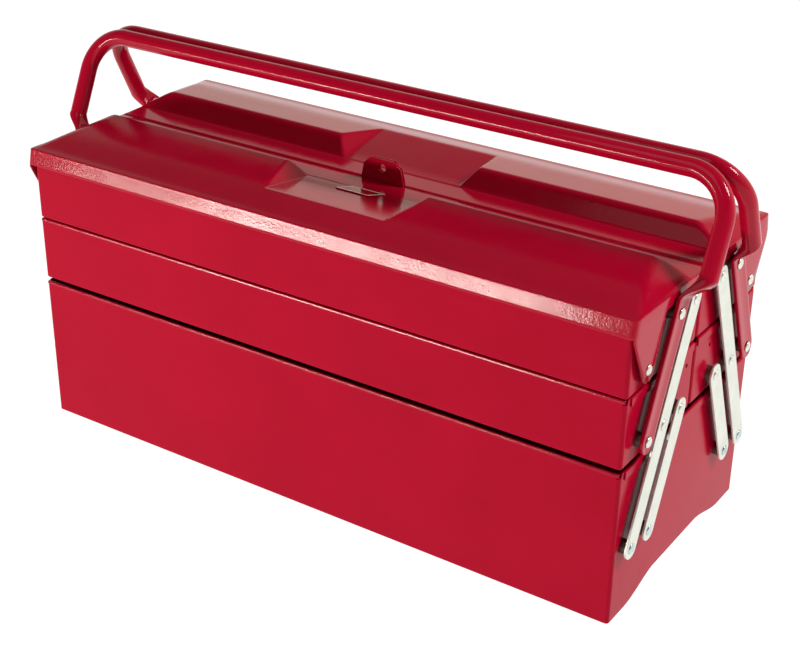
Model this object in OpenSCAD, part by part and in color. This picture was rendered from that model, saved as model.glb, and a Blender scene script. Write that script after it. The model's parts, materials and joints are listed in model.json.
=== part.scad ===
// Five-tray cantilever toolbox of folded sheet steel with two tube handles.
// Frame: X along the box, Y from front (-) to back (+), Z up.
// The origin is the centre of the footprint on the surface that the box stands on.

/* [Box] */
// Length over the tray ends
box_l = 495; // [470:1:520]
// Depth over the front and back walls
box_w = 200; // [196:1:206]
// Thickness of the tray and lid sheet
sheet = 1; // [0.8:0.1:1.2]
// Gap between the front half and the back half at the centre
centre_gap = 1; // [0.8:0.1:1.2]

/* [Trays] */
// Top of the bottom tray
bottom_top = 114.6; // [113:0.2:114.6]
// Underside of the middle trays
middle_base = 117.7; // [117.7:0.1:118.5]
// Top of the middle trays
middle_top = 167.3; // [165:0.1:167.3]
// Underside of the top trays
top_base = 168; // [168:0.1:168.6]
// Top of the top trays, under the lids
top_top = 216.5; // [215:0.5:216.5]
// Height of the bottom tray's floor above the ground
floor_z = 10; // [10:0.5:14]
// Radius of the upright corners
bend_r = 2.5; // [2.5:0.5:4]
// Radius of the bends around the bottom of the upper trays
base_r = 1.5; // [1.3:0.1:2]
// Radius of the rolled rim along the long walls
rim_r = 1.4; // [1.3:0.1:1.6]

/* [Linkage] */
// Distance between neighbouring pivots of a link
link_pitch = 82.9; // [82.5:0.1:83.3]
// Lean of the links towards the centre, from upright
link_lean = 23.5; // [23:0.1:24]
// Width of the steel links
link_w = 15; // [14:0.5:16]
// Thickness of the steel links
link_t = 1.5; // [1.2:0.1:1.8]
// Gap between a tray end and the links
link_gap = 4.5; // [4.2:0.1:5]
// Diameter of the rivet shanks
rivet_d = 4.9; // [4.5:0.1:5.2]
// Diameter of the rivet heads
rivet_head_d = 7.6; // [7.4:0.2:8.4]

/* [Handles] */
// Outer diameter of the handle tube
tube_d = 12.7; // [12:0.1:12.8]
// Height of the tube's centre line over the ground
handle_z = 286.9; // [285.9:0.2:288.9]
// Radius of the tube's corner bends, at its centre line
handle_bend = 30; // [26:1:34]
// Width of the flattened arms
arm_w = 17; // [16:0.5:18]
// Thickness of the flattened arms
arm_t = 2.8; // [2.4:0.1:3]

/* [Lids] */
// Height of the ridge along each lid
ridge_z = 235.4; // [234.4:0.2:235.8]
// Half length of the hand recess at the lip
recess_half = 50; // [45:1:55]
// Width of a hasp tab at its base
hasp_w = 36; // [32:1:40]
// Diameter of the padlock hole
hasp_hole_d = 6; // [5:0.5:7]

/* [Hidden] */
$fn = 48;

// Sides of the box: left and right ends along X, front and back halves along Y
LEFT = -1;
RIGHT = 1;
FRONT = -1;
BACK = 1;
paint = "crimson";
zinc = "gainsboro";
half_l = box_l / 2;
half_w = box_w / 2;
big = 1000;

// Pivots as [distance from the centre plane, height]
step_y = link_pitch * sin(link_lean);
step_z = link_pitch * cos(link_lean);
pivot_z = 130.8;
long_y = 53.5;
short_y = 27.8;
handle_y = 78.3;
long_bottom = [long_y + step_y, pivot_z - step_z];
long_middle = [long_y, pivot_z];
long_top = [long_y - step_y, pivot_z + step_z];
short_bottom = [short_y + step_y, pivot_z - step_z];
short_middle = [short_y, pivot_z];
handle_middle = [handle_y, pivot_z];
handle_top = [handle_y - step_y, pivot_z + step_z];
lid_pivot = [79, 181.2];
fit_gap = 0.05;
bore_r = rivet_d / 2 + fit_gap;
spacer_r = 5;
play = 0.1;
collar_seat = 0.02;
edge_step = 0.03;
dome_r = 6.2;
head_h = 1.4;
tail_t = 1.2;
tail_r = 3.6;

// Trays
cap_len = 12;
rim_y = half_w + 0.4 - rim_r;
rim_bore_r = 0.7;
rim_cut = 3.2;
end_hem_h = 6;
end_hem_t = 1;
hem_inset = 6;
foot_y = 76;
arch_y = 31;
arch_h = 9;
foot_hem_gap = 1.4;
end_hole_d = 3;
end_hole_z = 152.9;
end_hole_y = [11, 25.9];

// Lids, as [distance from the centre plane, height]
lip_edge = centre_gap / 2;
skirt_low = [103.8, 211.2];
skirt_high = [101.3, 222.2];
crown = [74, 228.9];
ridge = [31.5, ridge_z];
lip_in = [21.7, 221.4];
lip = [lip_edge, 221];
flap_gap = 2.3;
flap_tip_r = 9;
flap_turn = [200, -28];
end_skirt_low = 213.6;
end_skirt_y = 60;
lid_x = half_l + flap_gap + sheet;
ridge_shift = [0.3, 1.4];
lid_wrap = 8;
hip_inset = 23;
recess_flare = 10.8;

// Hasp tabs and badge
hasp_t = 1.2;
hasp_top = 238.6;
hasp_shoulder = [15.8, 233.2];
hasp_top_half = 9.5;
hasp_hole_z = 231.8;
hasp_foot = 16;
hasp_slack = 0.1;
hasp_rise = 2;
badge_l = 28;
badge_h = 13;
badge_skew = 6;
badge_t = 0.8;
seat_gap = 0.05;

// Handles
tube_r = tube_d / 2;
tube_y = 6.55;
leg_x = half_l + 17.6;
leg_rise = 19;
leg_foot_z = handle_top[1] + leg_rise;
arm_end = 12;
leg_shift = 1.2;
leg_line_y = handle_top[0] - leg_shift;
leg_slope = (leg_line_y - tube_y) / (handle_z - handle_top[1]);
leg_lean = atan(leg_slope);
slice = 0.6;
blend_depth = 2;
blend_inset = 0.06;

// Rounded rectangle with its lower left corner at the origin
module round_rect(w, h, r) {
  translate([r, 0]) square([w - 2 * r, h]);
  translate([0, r]) square([w, h - 2 * r]);
  for (x = [r, w - r], y = [r, h - r]) translate([x, y]) circle(r);
}

// Rectangle with only its two lower corners rounded
module round_base(w, h, r) {
  translate([r, 0]) square([w - 2 * r, h]);
  translate([0, r]) square([w, h - r]);
  for (x = [r, w - r]) translate([x, r]) circle(r);
}

// Extrudes a Y-Z outline along X, centred on X = 0
module along_x(length) {
  rotate([90, 0, 90]) linear_extrude(length, center = true) children();
}

// Extrudes an X-Z outline along Y from 0 to depth
module along_y(depth) {
  translate([0, depth, 0]) rotate([90, 0, 0]) linear_extrude(depth) children();
}

// Solid block with round upright corners (radius r) and round bottom bends (radius low_r)
module pan_block(length, y0, width, z0, height, r, low_r) {
  intersection() {
    translate([-length / 2, y0, z0]) linear_extrude(height) round_rect(length, width, r);
    translate([0, y0, z0]) along_x(length) round_base(width, height, low_r);
    translate([-length / 2, y0, z0]) along_y(width) round_base(length, height, low_r);
  }
}

// Keeps the long middle (side 0) or one end (LEFT or RIGHT) of a shape divided at cut_x
module end_piece(side, cut_x) {
  intersection() {
    children();
    if (side == 0) cube([2 * cut_x, big, big], center = true);
    else translate([side * (cut_x + big / 2), 0, 0]) cube(big, center = true);
  }
}

// Rolled rim along a long wall
module rolled_rim(half, top) {
  translate([0, half * rim_y, top - rim_r]) rotate([0, 90, 0])
    cylinder(h = box_l, r = rim_r, center = true);
}

// Bore of the rolled rim, open at both ends
module rim_openings(half, top) {
  translate([0, half * rim_y, top - rim_r]) rotate([0, 90, 0])
    cylinder(h = box_l + 1, r = rim_bore_r, center = true);
}

// Space at both ends of a rolled rim where the end wall's corner is cut away
module rim_corners(half, top) {
  for (end = [LEFT, RIGHT]) translate([end * half_l, half * half_w, top])
    cube([2 * bend_r + 1, 2 * bend_r + 2, 2 * rim_cut], center = true);
}

// Outward hem on the top edge of an end wall, from y0 to y1
module end_hem(y0, y1, top) {
  for (end = [LEFT, RIGHT])
    translate([end * (half_l + end_hem_t / 2), (y0 + y1) / 2, top - end_hem_h / 2])
      cube([end_hem_t, y1 - y0, end_hem_h], center = true);
}

// Holes through both end walls for rivets at one pivot
module pivot_holes(half, pivot, r) {
  translate([0, half * pivot[0], pivot[1]]) rotate([0, 90, 0])
    cylinder(h = box_l + 40, r = r, center = true);
}

// The complete bottom tray before it is divided into body and end caps
module bottom_tray() {
  inner_w = half_w - sheet - foot_hem_gap;
  difference() {
    union() {
      difference() {
        translate([-half_l, -half_w, 0]) linear_extrude(bottom_top)
          round_rect(box_l, box_w, bend_r);
        translate([-half_l + sheet, -half_w + sheet, -1]) linear_extrude(bottom_top + 2)
          round_rect(box_l - 2 * sheet, box_w - 2 * sheet, bend_r - sheet);
        for (half = [FRONT, BACK]) rim_corners(half, bottom_top);
      }
      translate([0, 0, floor_z + sheet / 2])
        cube([box_l - 2 * sheet, 2 * inner_w, sheet], center = true);
      for (half = [FRONT, BACK]) {
        translate([0, half * (inner_w - sheet / 2), (floor_z + sheet) / 2])
          cube([box_l - 2 * bend_r, sheet, floor_z + sheet], center = true);
        translate([0, half * (half_w - (half_w - inner_w) / 2 - sheet / 2), sheet / 2])
          cube([box_l - 2 * bend_r, half_w - inner_w + sheet, sheet], center = true);
        rolled_rim(half, bottom_top);
      }
      end_hem(-half_w + hem_inset, half_w - hem_inset, bottom_top);
    }
    for (half = [FRONT, BACK]) {
      rim_openings(half, bottom_top);
      pivot_holes(half, long_bottom, bore_r);
      pivot_holes(half, short_bottom, bore_r);
    }
    along_x(box_l + 2)
      polygon([
        [-foot_y, -1], [-foot_y, 0], [-arch_y, arch_h], [arch_y, arch_h], [foot_y, 0], [foot_y, -1]
      ]);
  }
}

// An upper tray on one half, before it is divided; pivots are [y, z] pairs
module upper_tray(half, base, top, pivots) {
  inside = centre_gap / 2;
  width = half_w - inside;
  y0 = half == FRONT ? -half_w : inside;
  difference() {
    union() {
      difference() {
        pan_block(box_l, y0, width, base, top - base, bend_r, base_r);
        pan_block(box_l - 2 * sheet, y0 + sheet, width - 2 * sheet, base + sheet,
                  top - base, bend_r - sheet, base_r - sheet);
        rim_corners(half, top);
      }
      rolled_rim(half, top);
    }
    rim_openings(half, top);
    for (p = pivots) pivot_holes(half, p, bore_r);
  }
}

// Middle tray with its end hems and a small hanging hole in each end
module middle_tray(half) {
  y0 = half == FRONT ? -half_w + hem_inset : centre_gap / 2 + bend_r;
  y1 = half == FRONT ? -centre_gap / 2 - bend_r : half_w - hem_inset;
  difference() {
    union() {
      upper_tray(half, middle_base, middle_top, [long_middle, short_middle, handle_middle]);
      end_hem(y0, y1, middle_top);
    }
    for (end = [LEFT, RIGHT])
      translate([end * half_l, half * end_hole_y[half * end == FRONT ? 0 : 1], end_hole_z])
        rotate([0, 90, 0]) cylinder(h = 4 * sheet, d = end_hole_d, center = true);
  }
}

// Top tray, whose rim hides under the lid
module top_tray(half) {
  upper_tray(half, top_base, top_top, [long_top, handle_top, lid_pivot]);
}

// Everything on the positive side of a plane through a point
module half_space(point, normal) {
  n = normal / norm(normal);
  axis = cross([0, 0, 1], n);
  translate(point)
    rotate(a = acos(n[2]), v = norm(axis) < 1e-6 ? [1, 0, 0] : axis)
      translate([-big / 2, -big / 2, 0]) cube(big);
}

// Outward normal of the plane through three points
function plane_normal(a, b, c) = cross(b - a, c - a);
function flip_x(p) = [-p[0], p[1], p[2]];
function unit(v) = v / norm(v);

// Solid space under the back lid's skin; inset moves every face inwards
module lid_block(inset) {
  tilt = atan2(skirt_low[0] - skirt_high[0], skirt_high[1] - skirt_low[1]);
  skirt_in = [skirt_high[0] - inset / cos(tilt), skirt_high[1] - inset];
  low_in = [skirt_low[0] - inset / cos(tilt), skirt_low[1]];
  lip_drop = atan2(ridge[1] - lip_in[1], ridge[0] - lip_in[0]);
  corner_shift = inset * tan(lip_drop / 2);
  ridge_in = [ridge[0] + inset * ridge_shift[0], ridge[1] - inset * ridge_shift[1]];
  outline = [
    [lip[0], skirt_low[1] - inset], [low_in[0], skirt_low[1] - inset], low_in, skirt_in,
    [crown[0], crown[1] - inset], ridge_in,
    [lip_in[0] + corner_shift, lip_in[1] - inset], [lip[0], lip[1] - inset]
  ];
  corner = [lid_x, skirt_high[0], skirt_high[1]];
  ridge_end = [lid_x - hip_inset, ridge[0], ridge[1]];
  lip_end = [lid_x, lip_in[0], lip_in[1]];
  hip = unit(plane_normal(corner, ridge_end, lip_end));
  hip_up = hip[2] > 0 ? hip : -hip;
  crease = [recess_half + 0.5, crown[0], crown[1]];
  floor_rise = (crown[1] - lip_in[1]) / (crown[0] - lip_in[0]);
  floor_start = [lip_in[0] + corner_shift, lip_in[1] - inset];
  floor_end = floor_start + [1, floor_rise] * (skirt_high[0] - lip_in[0]);
  wall_top = [recess_half + recess_flare, ridge[0], ridge[1]];
  wall_foot = [recess_half, lip_in[0], lip_in[1]];
  wall = unit(plane_normal(crease, wall_top, wall_foot));
  wall_in = wall[0] < 0 ? wall : -wall;
  difference() {
    along_x(2 * (lid_x - inset)) polygon(outline);
    for (m = [0, 1]) mirror([m, 0, 0]) half_space(corner - hip_up * inset, hip_up);
    intersection() {
      along_x(2 * lid_x)
        polygon([floor_start, floor_end, [floor_end[0], big], [floor_start[0], big]]);
      half_space(wall_foot - wall_in * inset, wall_in);
      half_space(flip_x(wall_foot) - flip_x(wall_in) * inset, flip_x(wall_in));
    }
  }
}

// Outline of the lid's end: a skirt with a flap that runs down to the lid pivot
module lid_end_outline() {
  translate([0, end_skirt_low]) square([skirt_low[0] + 2, 40]);
  polygon([
    skirt_low, [skirt_low[0], end_skirt_low + 1], [end_skirt_y, end_skirt_low + 1],
    for (turn = flap_turn) lid_pivot + flap_tip_r * [cos(turn), sin(turn)]
  ]);
  translate(lid_pivot) circle(flap_tip_r);
}

// Pressed sheet of the back lid with its skirts and hand recess
module lid_shell() {
  difference() {
    lid_block(0);
    lid_block(sheet);
    translate([0, 0, end_skirt_low - big / 2])
      cube([2 * (lid_x + 1), 2 * (skirt_low[0] - lid_wrap), big], center = true);
    translate([0, 0, -big / 2 + skirt_low[1]]) cube(big, center = true);
  }
}

// Flat end of the back lid, with the flap that hangs on the lid pivot
module lid_flap(end) {
  intersection() {
    translate([end * (lid_x - sheet / 2), 0, 0]) along_x(sheet) lid_end_outline();
    union() {
      lid_block(0);
      translate([-big / 2, 0, 0]) cube([big, skirt_low[0], skirt_low[1] + 2]);
    }
  }
}

// The back lid's long panel (side 0) or one of its ends (LEFT or RIGHT)
module lid_back(side) {
  difference() {
    union() {
      end_piece(side, lid_x - sheet) lid_shell();
      if (side != 0) lid_flap(side);
    }
    pivot_holes(BACK, lid_pivot, bore_r);
    translate([-hasp_w / 2 - hasp_slack, 0, lip[1] - 10])
      cube([hasp_w + 2 * hasp_slack, lip_edge + hasp_t + hasp_slack, 20]);
  }
}

// Hasp tab of the back lid: an upright ear on a foot under the lip
module hasp_back() {
  foot_z = lip[1] - sheet - hasp_t;
  half_base = hasp_w / 2;
  difference() {
    union() {
      translate([0, lip_edge, 0]) along_y(hasp_t)
        polygon([
          [-half_base, foot_z], [half_base, foot_z], [half_base, lip[1] + hasp_rise],
          hasp_shoulder, [hasp_top_half, hasp_top], [-hasp_top_half, hasp_top],
          [-hasp_shoulder[0], hasp_shoulder[1]], [-half_base, lip[1] + hasp_rise]
        ]);
      translate([-half_base, lip_edge, foot_z]) cube([hasp_w, hasp_foot, hasp_t - seat_gap]);
    }
    translate([0, -1, hasp_hole_z]) rotate([-90, 0, 0]) cylinder(h = 5, d = hasp_hole_d);
  }
}

// Steel link through a list of pivots, on the back half, at one end of the box
module link_back(end, pivots) {
  last = pivots[len(pivots) - 1];
  along = unit(last - pivots[0]);
  turn = atan2(along[1], along[0]);
  x0 = end == RIGHT ? half_l + link_gap : -half_l - link_gap - link_t;
  translate([x0, 0, 0]) rotate([90, 0, 90]) linear_extrude(link_t) difference() {
    union() {
      translate(pivots[0]) rotate(turn) translate([0, edge_step - link_w / 2])
        square([norm(last - pivots[0]), link_w - 2 * edge_step]);
      translate(pivots[0]) circle(d = link_w);
      translate(last) circle(d = link_w);
    }
    for (p = pivots) translate(p) circle(bore_r);
  }
}

// One flattened arm of the back handle, with its two pivot bores
module arm(end) {
  along = unit(handle_top - handle_middle);
  turn = atan2(along[1], along[0]);
  reach = norm(handle_top - handle_middle) + arm_end;
  x0 = end == RIGHT ? half_l + link_gap : -half_l - link_gap - arm_t;
  translate([x0, 0, 0]) rotate([90, 0, 90]) linear_extrude(arm_t) difference() {
    union() {
      translate(handle_middle) rotate(turn) translate([0, edge_step - arm_w / 2])
        square([reach, arm_w - 2 * edge_step]);
      translate(handle_middle) circle(d = arm_w);
    }
    for (p = [handle_middle, handle_top]) translate(p) circle(bore_r);
  }
}

// Blend from the flat arm up to the round leg of the tube
module arm_blend(end) {
  along = unit(handle_top - handle_middle);
  turn = atan2(along[1], along[0]);
  x0 = end == RIGHT ? half_l + link_gap : -half_l - link_gap - arm_t;
  shoulder = handle_top + along * (arm_end - blend_depth);
  hull() {
    translate([x0 + blend_inset, 0, 0]) rotate([90, 0, 90])
      linear_extrude(arm_t - 2 * blend_inset) translate(shoulder) rotate(turn)
        translate([0, 2 * blend_inset - arm_w / 2]) square([slice, arm_w - 4 * blend_inset]);
    leg_slice(end, leg_foot_z + blend_depth / 2);
  }
}

// Thin slice across a leg at a height
module leg_slice(end, z) {
  translate([end * leg_x, leg_line_y - (z - handle_top[1]) * leg_slope, z])
    rotate([leg_lean, 0, 0]) cylinder(h = slice, r = tube_r - blend_inset, $fn = 32);
}

// Tube of the back handle: two legs, two corner bends and the grip, in one leaning plane
module tube_loop() {
  leg_len = (handle_z - leg_foot_z) / cos(leg_lean) - handle_bend;
  grip_half = leg_x - handle_bend;
  translate([0, tube_y, handle_z]) rotate([leg_lean, 0, 0]) {
    rotate([0, 90, 0]) cylinder(h = 2 * grip_half, r = tube_r, center = true);
    for (end = [LEFT, RIGHT]) {
      translate([end * leg_x, 0, -handle_bend - leg_len]) cylinder(h = leg_len, r = tube_r);
      translate([end * grip_half, 0, -handle_bend]) rotate([90, 0, 0])
        rotate(end == RIGHT ? 0 : 90) rotate_extrude(angle = 90)
          translate([handle_bend, 0]) circle(tube_r);
    }
  }
}

// The back handle: one tube with flattened, drilled ends
module handle_back() {
  tube_loop();
  for (end = [LEFT, RIGHT]) {
    arm(end);
    arm_blend(end);
  }
}

// A rivet on the back half: domed head outside, shank through stack, closed tail inside
module rivet(end, pivot, stack) {
  head_r = rivet_head_d / 2;
  dome_z = sqrt(dome_r * dome_r - head_r * head_r);
  translate([end * half_l, pivot[0], pivot[1]]) rotate([0, end * 90, 0]) {
    translate([0, 0, -sheet - tail_t]) cylinder(h = tail_t, r = tail_r);
    translate([0, 0, -sheet - play]) cylinder(h = sheet + stack + 2 * play, r = rivet_d / 2);
    translate([0, 0, stack + play]) intersection() {
      translate([0, 0, -dome_z]) sphere(dome_r);
      cylinder(h = head_h, r = head_r);
    }
  }
}

// Collar between a tray end and whatever turns on the rivet
module spacer(end, pivot, length) {
  translate([end * half_l, pivot[0], pivot[1]]) rotate([0, end * 90, 0])
    translate([0, 0, collar_seat]) difference() {
      cylinder(h = length - collar_seat - play, r = spacer_r);
      translate([0, 0, -1]) cylinder(h = length + 2, r = bore_r);
    }
}

// Rivets at both ends for a list of [pivot, stack] pairs on the back half
module rivets_back(list) {
  for (end = [LEFT, RIGHT], item = list) rivet(end, item[0], item[1]);
}

// Spacers at both ends for a list of [pivot, length] pairs on the back half
module spacers_back(list) {
  for (end = [LEFT, RIGHT], item = list) spacer(end, item[0], item[1]);
}

// Places a shape made for the back half on either half
module on_half(half) {
  if (half == BACK) children();
  else mirror([0, 1, 0]) children();
}

link_stack = link_gap + link_t;
arm_stack = link_gap + arm_t;
flap_stack = flap_gap + sheet;
bottom_rivet_list = [[long_bottom, link_stack], [short_bottom, link_stack]];
middle_rivet_list = [
  [long_middle, link_stack], [short_middle, link_stack], [handle_middle, arm_stack]
];
top_rivet_list = [[long_top, link_stack], [handle_top, arm_stack], [lid_pivot, flap_stack]];
bottom_spacer_list = [[long_bottom, link_gap], [short_bottom, link_gap]];
middle_spacer_list = [[long_middle, link_gap], [short_middle, link_gap], [handle_middle, link_gap]];
top_spacer_list = [[long_top, link_gap], [handle_top, link_gap], [lid_pivot, flap_gap]];

module bottom_tray_part(side) {
  color(paint) end_piece(side, half_l - cap_len) bottom_tray();
}

module middle_tray_part(half, side) {
  color(paint) end_piece(side, half_l - cap_len) middle_tray(half);
}

module top_tray_part(half, side) {
  color(paint) end_piece(side, half_l - cap_len) top_tray(half);
}

module lid_part(half, side) {
  color(paint) on_half(half) lid_back(side);
}

module hasp_tab(half) {
  color(paint) on_half(half) hasp_back();
}

// Blank badge lying on the front lid's recess floor
module badge_plate() {
  tilt = atan2(crown[1] - lip_in[1], crown[0] - lip_in[0]);
  color("firebrick") on_half(FRONT)
    translate([0, lip_in[0], lip_in[1] + seat_gap]) rotate([tilt, 0, 0]) linear_extrude(badge_t)
      polygon([
        [-badge_l / 2 + badge_skew / 2, 0], [badge_l / 2 + badge_skew / 2, 0],
        [badge_l / 2 - badge_skew / 2, badge_h], [-badge_l / 2 - badge_skew / 2, badge_h]
      ]);
}

module handle(half) {
  color(paint) on_half(half) handle_back();
}

module long_link(half, end) {
  color(zinc) on_half(half) link_back(end, [long_bottom, long_middle, long_top]);
}

module short_link(half, end) {
  color(zinc) on_half(half) link_back(end, [short_bottom, short_middle]);
}

module bottom_tray_rivets() {
  color(zinc) for (half = [FRONT, BACK]) on_half(half) rivets_back(bottom_rivet_list);
}

module middle_tray_rivets(half) {
  color(zinc) on_half(half) rivets_back(middle_rivet_list);
}

module top_tray_rivets(half) {
  color(zinc) on_half(half) rivets_back(top_rivet_list);
}

module bottom_tray_spacers() {
  color(zinc) for (half = [FRONT, BACK]) on_half(half) spacers_back(bottom_spacer_list);
}

module middle_tray_spacers(half) {
  color(zinc) on_half(half) spacers_back(middle_spacer_list);
}

module top_tray_spacers(half) {
  color(zinc) on_half(half) spacers_back(top_spacer_list);
}

bottom_tray_part(0);  // bottom_tray_body
bottom_tray_part(LEFT);  // bottom_tray_left_end
bottom_tray_part(RIGHT);  // bottom_tray_right_end
middle_tray_part(FRONT, 0);  // front_middle_tray_body
middle_tray_part(FRONT, LEFT);  // front_middle_tray_left_end
middle_tray_part(FRONT, RIGHT);  // front_middle_tray_right_end
middle_tray_part(BACK, 0);  // back_middle_tray_body
middle_tray_part(BACK, LEFT);  // back_middle_tray_left_end
middle_tray_part(BACK, RIGHT);  // back_middle_tray_right_end
top_tray_part(FRONT, 0);  // front_top_tray_body
top_tray_part(FRONT, LEFT);  // front_top_tray_left_end
top_tray_part(FRONT, RIGHT);  // front_top_tray_right_end
top_tray_part(BACK, 0);  // back_top_tray_body
top_tray_part(BACK, LEFT);  // back_top_tray_left_end
top_tray_part(BACK, RIGHT);  // back_top_tray_right_end
lid_part(FRONT, 0);  // front_lid_panel
lid_part(FRONT, LEFT);  // front_lid_left_end
lid_part(FRONT, RIGHT);  // front_lid_right_end
lid_part(BACK, 0);  // back_lid_panel
lid_part(BACK, LEFT);  // back_lid_left_end
lid_part(BACK, RIGHT);  // back_lid_right_end
hasp_tab(FRONT);  // front_hasp_tab
hasp_tab(BACK);  // back_hasp_tab
badge_plate();
handle(FRONT);  // front_handle
handle(BACK);  // back_handle
long_link(FRONT, LEFT);  // front_left_long_link
long_link(FRONT, RIGHT);  // front_right_long_link
long_link(BACK, LEFT);  // back_left_long_link
long_link(BACK, RIGHT);  // back_right_long_link
short_link(FRONT, LEFT);  // front_left_short_link
short_link(FRONT, RIGHT);  // front_right_short_link
short_link(BACK, LEFT);  // back_left_short_link
short_link(BACK, RIGHT);  // back_right_short_link
bottom_tray_rivets();
middle_tray_rivets(FRONT);  // front_middle_tray_rivets
middle_tray_rivets(BACK);  // back_middle_tray_rivets
top_tray_rivets(FRONT);  // front_top_tray_rivets
top_tray_rivets(BACK);  // back_top_tray_rivets
bottom_tray_spacers();
middle_tray_spacers(FRONT);  // front_middle_tray_spacers
middle_tray_spacers(BACK);  // back_middle_tray_spacers
top_tray_spacers(FRONT);  // front_top_tray_spacers
top_tray_spacers(BACK);  // back_top_tray_spacers
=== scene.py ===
import json
import math

import bmesh
import bpy
from mathutils import Matrix, Vector


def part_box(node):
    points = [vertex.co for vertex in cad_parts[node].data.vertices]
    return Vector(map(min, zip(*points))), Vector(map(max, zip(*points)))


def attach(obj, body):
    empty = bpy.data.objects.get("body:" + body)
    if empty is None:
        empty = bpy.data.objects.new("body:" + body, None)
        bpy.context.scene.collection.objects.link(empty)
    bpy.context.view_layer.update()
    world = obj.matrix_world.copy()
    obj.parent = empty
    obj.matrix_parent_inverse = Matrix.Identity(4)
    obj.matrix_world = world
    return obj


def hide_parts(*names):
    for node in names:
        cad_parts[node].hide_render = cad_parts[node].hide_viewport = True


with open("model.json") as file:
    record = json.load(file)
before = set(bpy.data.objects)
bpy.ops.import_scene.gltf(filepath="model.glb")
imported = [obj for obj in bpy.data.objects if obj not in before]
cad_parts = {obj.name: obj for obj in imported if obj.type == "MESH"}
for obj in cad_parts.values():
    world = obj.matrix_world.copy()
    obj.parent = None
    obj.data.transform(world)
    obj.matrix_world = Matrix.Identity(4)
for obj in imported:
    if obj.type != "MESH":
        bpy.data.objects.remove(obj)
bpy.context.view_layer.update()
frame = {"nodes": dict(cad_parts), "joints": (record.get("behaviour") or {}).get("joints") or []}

MM = 0.001
HALVES = {"front": -1, "back": 1}
ENDS = {"left": -1, "right": 1}

# Sheet metal, in millimetres as in the CAD source
SHEET = 1.0
HALF_W = 100.0
CENTRE = 0.5
FLOOR_Z = 10.0
CORNER_R = 2.5
BASE_R = 1.5

# Curled rim of a long wall: the sheet turns by RIM_TURN degrees, up to the slit at RIM_SLIT, and
# is pressed flat over RIM_FLAT degrees to each side of RIM_TILT
RIM_R = 1.4
RIM_WALL = 0.7
RIM_DROP = 3.2
RIM_OUT = 0.4
RIM_INSET = 1.2
RIM_SLIT = 250
RIM_TURN = 342
RIM_FLAT = 27.0
RIM_TILT = 15

# Folded hem of an end wall
HEM_R = 1.0
HEM_H = 6.0
HEM_INSET = 6.0

# Arch between the feet of the bottom tray's end walls
FOOT_Y = 76.0
ARCH_Y = 31.0
ARCH_H = 9.0

# Vent holes in the middle trays' ends: two distances from the centre plane, and the height
VENT_R = 1.5
VENT_NEAR = 11.0
VENT_FAR = 25.9
VENT_Z = 152.9

# Lid outline, as [distance from the centre plane, height]
SKIRT_LOW = (103.8, 211.2)
SKIRT_HIGH = (101.3, 222.2)
CROWN = (74.0, 228.9)
RIDGE = (31.5, 235.4)
LIP_IN = (21.7, 221.4)
LIP = (0.5, 221.0)
HIP_INSET = 23.0

# Recess for the hand: half lengths at its foot, at the crown and at the ridge
RECESS_FOOT = 50.0
RECESS_CREASE = 50.5
RECESS_TOP = 60.8

# How far each fold of the lid is rounded
SKIRT_BEND = 0.8
RIDGE_BEND = 5.0
HIP_BEND = 2.4
SCOOP_BEND = 0.5
CREASE_BEND = 0.45
LIP_BEND = 1.4

# End skirt and flap of a lid, and the rounding of its edges and of its corners in plan
END_SKIRT_LOW = 213.6
END_SKIRT_Y = 60.0
FLAP_R = 9.0
FLAP_TURN = (200, -28)
SKIRT_ROWS = 6
PLAN_R = 2.6
FOLD_R = 0.8
FOLD_STEPS = [FOLD_R * (1 - math.sin(math.pi / 2 * k / 5)) for k in range(6)]

# Badge: half length, half skew and height of the plate, and its border: inset and width, its
# two heights over the recess, and how much wider it is along the slanted ends
BADGE_L = 14.0
BADGE_SKEW = 3.0
BADGE_H = 13.0
BORDER_EDGE = 0.15
BORDER_W = 1.15
BORDER_LOW = 0.5
BORDER_HIGH = 0.95
BORDER_SLANT = 1.4

# Handle: tube, flattened arm, and how far above the top pivot the arm ends and the leg is round
TUBE_R = 6.35
TUBE_Y = 6.55
BEND_R = 30.0
ARM_W = 17.0
ARM_T = 2.8
ARM_ABOVE = 8
LEG_ABOVE = 22
LEG_INSET = 1.2

# Rivets and links
BORE_R = 2.5
SHANK_R = 2.4
RIVET_GAP = 0.1
LINK_EDGE_R = 0.4


# ---------------------------------------------------------------- places from the frame
def mm_box(node):
    """Lowest and highest corner of a CAD node, in millimetres."""
    low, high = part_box(node)
    return low / MM, high / MM


PIVOT = {}
for joint in frame["joints"]:
    half, what = joint["name"].split("_", 1)
    PIVOT[half, what] = Vector((0, abs(joint["pos_m"][1]), joint["pos_m"][2])) / MM

bottom_high = mm_box("bottom_tray_body")[1]
middle_low, middle_high = mm_box("front_middle_tray_body")
top_low, top_high = mm_box("front_top_tray_body")
handle_high = mm_box("front_handle")[1]
link_low, link_high = mm_box("front_right_long_link")

# Pivots that no joint of its own names: the links are parallel, so both rise alike
LINK_RISE = PIVOT["front", "top_level"] - PIVOT["front", "middle_level"]
SHORT_MIDDLE = PIVOT["front", "short_swing"] + PIVOT["front", "middle_level"] - PIVOT["front", "fold"]
HANDLE_FOOT = PIVOT["front", "handle_swing"]
HANDLE_TOP = HANDLE_FOOT + LINK_RISE

HALF_L = mm_box("front_top_tray_right_end")[1].x
LID_X = mm_box("front_lid_right_end")[1].x
LEG_X = handle_high.x - TUBE_R
HANDLE_Z = handle_high.z - TUBE_R
LINK_X = link_low.x
LINK_TOP_X = link_high.x
ARM_X = LINK_X

# Height of what each rivet holds, above the tray's end wall
LINK_STACK = LINK_TOP_X - HALF_L
ARM_STACK = ARM_X + ARM_T - HALF_L
FLAP_STACK = LID_X - HALF_L


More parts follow.
